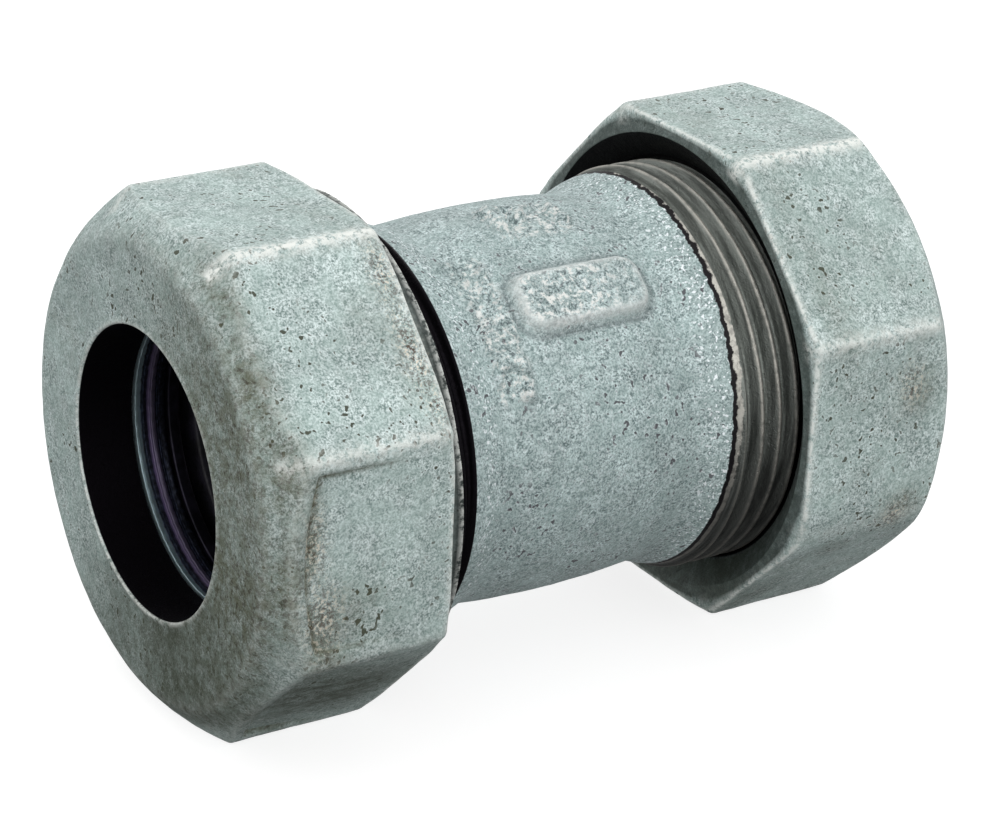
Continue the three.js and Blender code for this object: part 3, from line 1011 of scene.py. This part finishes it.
def make_nut_finish():
    finish = Finish("galvanised_nut")
    colour, height = speckled_zinc(finish, *NUT_ZINC)
    stray_grime = finish.between(finish.noise(14 * MM, 5.0, 0.65), 0.5, 0.72, 0.0, 0.3)
    streaks = finish.noise(1.6 * MM, 6.0, 0.75, stretch=(0.6, 1.0, 1.0))
    grime_and_shade = finish.larger(finish.mark("grime_and_shade"), stray_grime)
    grime_and_shade = finish.times(grime_and_shade, finish.between(streaks, 0.38, 0.62, 0.5, 1.0))
    # Brown grime, which is also painted shade at the sunk flats' steps and on the left end face.
    colour = finish.mix(grime_and_shade, colour, BROWN_GRIME_AND_SHADE)
    spots = finish.between(finish.noise(0.7 * MM, 4.0, 0.75), 0.52, 0.6)
    colour = finish.mix(finish.times(grime_and_shade, spots), colour, GRIME_SPOTS)
    # Painted shade on the inboard face, the rim and the cone of the mouth.
    inboard_shade = finish.times(finish.mark("painted_inboard_shade"), finish.between(streaks, 0.3, 0.7, 0.75, 1.0))
    colour = finish.mix(inboard_shade, colour, INBOARD_SHADE_ZINC)
    # Painted shade, dark green, mostly on the undersides.
    painted_shade = finish.times(finish.mark("painted_shade"), finish.between(streaks, 0.35, 0.65, 0.7, 1.0))
    colour = finish.mix(painted_shade, colour, PAINTED_SHADE_ZINC)
    stains = finish.noise(0.55 * MM, 3.0, 0.75)
    stain_share = finish.times(finish.mark("stained"), finish.between(stains, 0.5, 0.6))
    colour = finish.mix(stain_share, colour, RUST_STAIN)
    pale_share = finish.times(finish.mark("stained"), finish.between(stains, 0.4, 0.47, 0.8, 0.0))
    colour = finish.mix(pale_share, colour, PALE_STAIN)
    # The turned steel inside the nut is painted near black as shade, and so is the top of the mouth's cone.
    bare_and_shaded = finish.mark("bare_and_shaded")
    colour = finish.mix(bare_and_shaded, colour, NUT_STEEL_SHADE)
    # Pale worn zinc, which is also a painted highlight on the edges and upper corners.
    patchiness = finish.between(finish.noise(0.9 * MM, 4.0, 0.7), 0.36, 0.56)
    colour = finish.mix(finish.times(finish.mark("wear_and_highlight"), patchiness), colour, WORN_ZINC_AND_HIGHLIGHT)
    finish.set("Base Color", colour)
    finish.set("Metallic", finish.between(bare_and_shaded, 0.0, 1.0, 0.2, 0.95))
    finish.set("Roughness", finish.between(height, 0.5, 1.1, 0.65, 0.45))
    finish.bump(height, 0.16 * MM, 0.7)
    return finish.material


def cast_skin(finish):
    """The body's galvanised skin with its rough pad and patches. Returns colour and height."""
    colour, height = speckled_zinc(finish, *BODY_ZINC)
    crumbs = finish.noise(0.8 * MM, 4.0, 0.7)
    pad = finish.mark("pad")
    pits = finish.times(pad, finish.between(crumbs, 0.36, 0.46, 0.85, 0.0))
    colour = finish.mix(pits, colour, PAD_PITS)
    grains = finish.times(pad, finish.between(crumbs, 0.5, 0.62, 0.0, 0.85))
    colour = finish.mix(grains, colour, PAD_GRAINS)
    # Painted shade at the pad's foot and a painted highlight on its rim.
    colour = finish.mix(finish.mark("pad_foot"), colour, PAD_FOOT_SHADOW)
    colour = finish.mix(finish.times(finish.mark("pad_rim_highlight"), 0.6), colour, PAD_RIM_HIGHLIGHT)
    # Painted glints: near-white dots, most on the flares.
    glints = finish.between(finish.noise(0.42 * MM, 1.0, 0.5), 0.6, 0.67)
    glints = finish.times(glints, finish.between(finish.mark("flare"), 0.0, 1.0, 0.25, 0.9))
    return finish.mix(glints, colour, PAINTED_GLINTS), height


def make_body_finish():
    """Galvanised, but for the ends, which were threaded later: a painted shadow along the zinc's edge, a
    painted highlight on the lead, and dull thread, painted near black as shade on the left, underneath and
    in the bore.
    """
    finish = Finish("galvanised_body")
    colour, height = cast_skin(finish)
    thread_shade = finish.mark("thread_shade")
    rag = finish.mix(thread_shade, finish.noise(1.2 * MM, 3.0), (0.5, 0.5, 0.5, 1.0))
    rag = finish.times(finish.minus(rag, 0.5), 1.2)
    past_zinc = finish.plus(finish.mark("past_zinc"), rag)
    streaks = finish.noise(0.35 * MM, 3.0, 0.6, stretch=(1.0, 0.04, 0.04))
    turned = finish.mix(finish.between(streaks, 0.35, 0.65), THREAD_DARK, THREAD_LIGHT)
    scuffs = finish.between(finish.noise(1.1 * MM, 4.0), 0.35, 0.55, 0.5, 1.0)
    # Worn crests with a painted highlight.
    crest = finish.times(finish.mark("crest"), scuffs)
    turned = finish.mix(crest, turned, THREAD_CREST_HIGHLIGHT)
    # The lead is mostly a painted highlight.
    lead = finish.mix(scuffs, LEAD_DARK, LEAD_HIGHLIGHT)
    turned = finish.mix(finish.between(past_zinc, 1.0, 1.2), lead, turned)
    # A painted shadow line along the zinc's edge.
    turned = finish.mix(finish.between(past_zinc, 0.5, 0.65), ZINC_EDGE_SHADOW, turned)
    # Near-black painted shade on the left thread, under the right one and in the bore.
    turned = finish.mix(thread_shade, turned, THREAD_SHADE_BLACK)
    bare_and_shaded = finish.between(past_zinc, -0.05, 0.05)
    finish.set("Base Color", finish.mix(bare_and_shaded, colour, turned))
    finish.set("Roughness", finish.between(height, 0.5, 1.1, 0.6, 0.4))
    finish.set("Metallic", finish.plus(finish.times(bare_and_shaded, 0.6), 0.25))
    finish.bump(height, 0.16 * MM, 0.7)
    return finish.material


def make_clamp_finish():
    """Dark steel with two bands inside: a grey-green painted highlight at the mouth and violet deeper in.
    """
    finish = Finish("clamp_steel", metallic=0.8)
    specks = finish.noise(0.6 * MM, 4.0, 0.6)
    inward = finish.mark("inward")
    colour = finish.mix(finish.between(specks, 0.4, 0.66), CLAMP_DARK, CLAMP_LIGHT)
    # A painted highlight along the mouth's edge.
    colour = finish.mix(finish.between(inward, 0.8, 1.0, 1.0, 0.0), colour, MOUTH_EDGE_HIGHLIGHT)
    violet = finish.between(inward, 1.5, 1.8)
    violet = finish.times(violet, finish.between(inward, 2.6, 2.9, 1.0, 0.0))
    colour = finish.mix(violet, colour, DEEP_VIOLET_BAND)
    finish.set("Base Color", colour)
    finish.set("Roughness", finish.between(specks, 0.3, 0.7, 0.5, 0.3))
    finish.bump(specks, 0.05 * MM, 0.3)
    return finish.material


def make_washer_finish():
    finish = Finish("washer_steel", metallic=0.8)
    clouds = finish.noise(3 * MM, 4.0, 0.6)
    scratches = finish.noise(0.3 * MM, 3.0, 0.6, stretch=(1.0, 0.2, 1.0))
    cloudy = finish.between(clouds, 0.35, 0.65)
    finish.set("Base Color", finish.mix(cloudy, WASHER_DARK, WASHER_LIGHT))
    finish.set("Roughness", finish.between(scratches, 0.3, 0.7, 0.3, 0.5))
    finish.bump(scratches, 0.03 * MM, 0.35)
    return finish.material


def make_rubber_finish():
    finish = Finish("gasket_rubber", metallic=0.0)
    bloom = finish.noise(4 * MM, 4.0, 0.6)
    grain = finish.noise(0.35 * MM, 2.0, 0.5)
    bloom_share = finish.between(bloom, 0.4, 0.7)
    finish.set("Base Color", finish.mix(bloom_share, RUBBER_DARK, RUBBER_BLOOM))
    finish.set("Roughness", finish.between(grain, 0.3, 0.7, 0.5, 0.7))
    finish.bump(grain, 0.04 * MM, 0.4)
    return finish.material


# The studio

FLOOR_GLOW = 0.78
FLOOR_HALF_WIDTH = 6.0
KEY_DIRECTION = Vector((-0.3, -0.95, 0.25))
KEY_DISTANCE = 1.0
KEY_SIZE = 0.5
KEY_POWER = 2.4
DOME_LEVEL = 1.04
BOUNCE_LEVEL = 0.22
# Where the light changes between the two, from 0 straight down to 1 straight up.
HORIZON_LOW = 0.46
HORIZON_HIGH = 0.55


def make_floor():
    mesh = bpy.data.meshes.new("floor")
    half = FLOOR_HALF_WIDTH
    level = cad_low[2]
    corners = [(-half, -half, level), (half, -half, level), (half, half, level), (-half, half, level)]
    mesh.from_pydata(corners, [], [(0, 1, 2, 3)])
    floor = bpy.data.objects.new("floor", mesh)
    bpy.context.scene.collection.objects.link(floor)
    finish = Finish("floor", roughness=0.9)
    dust = finish.noise(0.3, 2.0, 0.5)
    shade = finish.between(dust, 0.3, 0.7, 0.34, 0.36)
    finish.set("Base Color", finish.mix(1.0, (1, 1, 1, 1), shade, "MULTIPLY"))
    finish.set("Emission Color", (1.0, 1.0, 1.0, 1.0))
    finish.set("Emission Strength", FLOOR_GLOW)
    mesh.materials.append(finish.material)
    floor.visible_diffuse = False
    floor.visible_glossy = False


def make_key_lamp():
    """A soft round lamp that aims at the middle of the coupling."""
    lamp = bpy.data.objects.new("key", bpy.data.lights.new("key", "AREA"))
    lamp.data.shape = "DISK"
    lamp.data.size = KEY_SIZE
    lamp.data.energy = KEY_POWER
    lamp.location = KEY_DIRECTION.normalized() * KEY_DISTANCE
    lamp.rotation_euler = (-KEY_DIRECTION).to_track_quat("-Z", "Y").to_euler()
    bpy.context.scene.collection.objects.link(lamp)


def make_sky():
    """Even light from above, and a weaker even light from below, as a pale table throws back."""
    world = bpy.data.worlds.new("studio")
    bpy.context.scene.world = world
    world.use_nodes = True
    tree = world.node_tree
    place = tree.nodes.new("ShaderNodeTexCoord").outputs["Generated"]
    split = tree.nodes.new("ShaderNodeSeparateXYZ")
    tree.links.new(place, split.inputs["Vector"])
    ramp = tree.nodes.new("ShaderNodeValToRGB")
    rise = tree.nodes.new("ShaderNodeMapRange")
    rise.inputs["From Min"].default_value = -1
    tree.links.new(split.outputs["Z"], rise.inputs["Value"])
    tree.links.new(rise.outputs["Result"], ramp.inputs["Fac"])
    below, above = ramp.color_ramp.elements
    below.position = HORIZON_LOW
    below.color = (BOUNCE_LEVEL, BOUNCE_LEVEL, BOUNCE_LEVEL, 1)
    above.position = HORIZON_HIGH
    above.color = (DOME_LEVEL, DOME_LEVEL, DOME_LEVEL, 1)
    tree.links.new(ramp.outputs["Color"], tree.nodes["Background"].inputs["Color"])
    tree.nodes["Background"].inputs["Strength"].default_value = 1.0


make_camera()
nut_finish = make_nut_finish()
body_finish = make_body_finish()
clamp_finish = make_clamp_finish()
washer_finish = make_washer_finish()
rubber_finish = make_rubber_finish()
make_body()
for side in ("right", "left"):
    make_nut(side)
    make_clamp_ring(side)
    make_washer(side)
    make_gasket(side)
make_floor()
make_sky()
make_key_lamp()
bpy.context.scene.view_settings.view_transform = "Standard"
